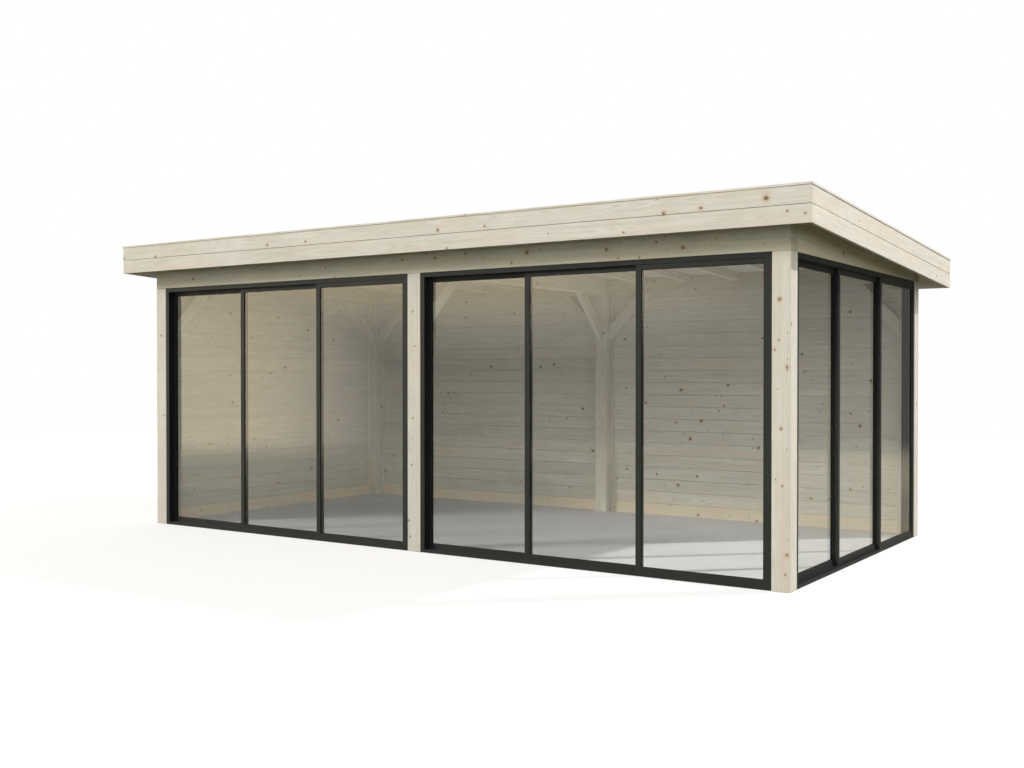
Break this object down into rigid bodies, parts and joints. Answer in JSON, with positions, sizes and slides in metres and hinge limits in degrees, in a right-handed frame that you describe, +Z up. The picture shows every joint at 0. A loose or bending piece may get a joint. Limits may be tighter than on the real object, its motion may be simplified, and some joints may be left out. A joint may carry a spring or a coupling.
{
  "type": "garden room with sliding glass walls",
  "caption": "Free-standing flat-roof timber garden room: spruce posts and beams, sliding glass doors along the front and right side, board walls at the rear and left.",
  "frame": {"origin": "on the ground at the middle of the plan", "axes": "+X to the right along the front, +Y from the front to the rear, +Z up; the front faces -Y"},
  "size_m": [6.25, 3.375, 2.4569],
  "materials": {
    "post_timber": "planed spruce posts, untreated",
    "beam_timber": "planed spruce beams, braces and rafters, untreated",
    "fascia_timber": "planed spruce fascia boards, untreated",
    "wall_boards": "tongue-and-groove spruce boards, untreated",
    "roof_boards": "tongue-and-groove spruce roof boards",
    "roof_covering": "black roofing membrane",
    "floor": "pale grey vinyl flooring, matte, faintly clouded",
    "frame_aluminium": "anthracite powder-coated extrusion, fine matte",
    "clear_glass": "clear toughened glass, faint grey tint"
  },
  "bodies": {
    "root": {"front_left_post": "post_timber", "front_middle_post": "post_timber", "front_right_post": "post_timber", "rear_left_post": "post_timber", "rear_middle_post": "post_timber", "rear_right_post": "post_timber", "front_beam": "beam_timber", "rear_beam": "beam_timber", "left_beam": "beam_timber", "middle_beam": "beam_timber", "right_beam": "beam_timber", "knee_braces": "beam_timber", "rafters": "beam_timber", "roof_boards": "roof_boards", "roof_covering": "roof_covering", "front_fascia": "fascia_timber", "rear_fascia": "fascia_timber", "left_fascia": "fascia_timber", "right_fascia": "fascia_timber", "roof_cap": "fascia_timber", "rear_left_wall": "wall_boards", "rear_right_wall": "wall_boards", "left_wall": "wall_boards", "floor": "floor", "left_door_frame": "frame_aluminium", "right_door_frame": "frame_aluminium", "side_door_frame": "frame_aluminium"},
    "left_door_leaf_1": {"left_door_panel_1": "frame_aluminium", "left_door_glass_1": "clear_glass"},
    "left_door_leaf_2": {"left_door_panel_2": "frame_aluminium", "left_door_glass_2": "clear_glass"},
    "left_door_leaf_3": {"left_door_panel_3": "frame_aluminium", "left_door_glass_3": "clear_glass"},
    "right_door_leaf_1": {"right_door_panel_1": "frame_aluminium", "right_door_glass_1": "clear_glass"},
    "right_door_leaf_2": {"right_door_panel_2": "frame_aluminium", "right_door_glass_2": "clear_glass"},
    "right_door_leaf_3": {"right_door_panel_3": "frame_aluminium", "right_door_glass_3": "clear_glass"},
    "side_door_leaf_1": {"side_door_panel_1": "frame_aluminium", "side_door_glass_1": "clear_glass"},
    "side_door_leaf_2": {"side_door_panel_2": "frame_aluminium", "side_door_glass_2": "clear_glass"},
    "side_door_leaf_3": {"side_door_panel_3": "frame_aluminium", "side_door_glass_3": "clear_glass"}
  },
  "joints": [
    {"name": "left_door_slide_1", "type": "slide", "parent": "root", "child": "left_door_leaf_1", "axis": [1, 0, 0], "range_m": [0, 1.78427]},
    {"name": "left_door_slide_2", "type": "slide", "parent": "root", "child": "left_door_leaf_2", "axis": [1, 0, 0], "range_m": [-0.89213, 0.89213]},
    {"name": "left_door_slide_3", "type": "slide", "parent": "root", "child": "left_door_leaf_3", "axis": [1, 0, 0], "range_m": [-1.78427, 0]},
    {"name": "right_door_slide_1", "type": "slide", "parent": "root", "child": "right_door_leaf_1", "axis": [1, 0, 0], "range_m": [0, 1.78427]},
    {"name": "right_door_slide_2", "type": "slide", "parent": "root", "child": "right_door_leaf_2", "axis": [1, 0, 0], "range_m": [-0.89213, 0.89213]},
    {"name": "right_door_slide_3", "type": "slide", "parent": "root", "child": "right_door_leaf_3", "axis": [1, 0, 0], "range_m": [-1.78427, 0]},
    {"name": "side_door_slide_1", "type": "slide", "parent": "root", "child": "side_door_leaf_1", "axis": [0, 1, 0], "range_m": [0, 1.77427]},
    {"name": "side_door_slide_2", "type": "slide", "parent": "root", "child": "side_door_leaf_2", "axis": [0, 1, 0], "range_m": [-0.88713, 0.88713]},
    {"name": "side_door_slide_3", "type": "slide", "parent": "root", "child": "side_door_leaf_3", "axis": [0, 1, 0], "range_m": [-1.77427, 0]}
  ]
}
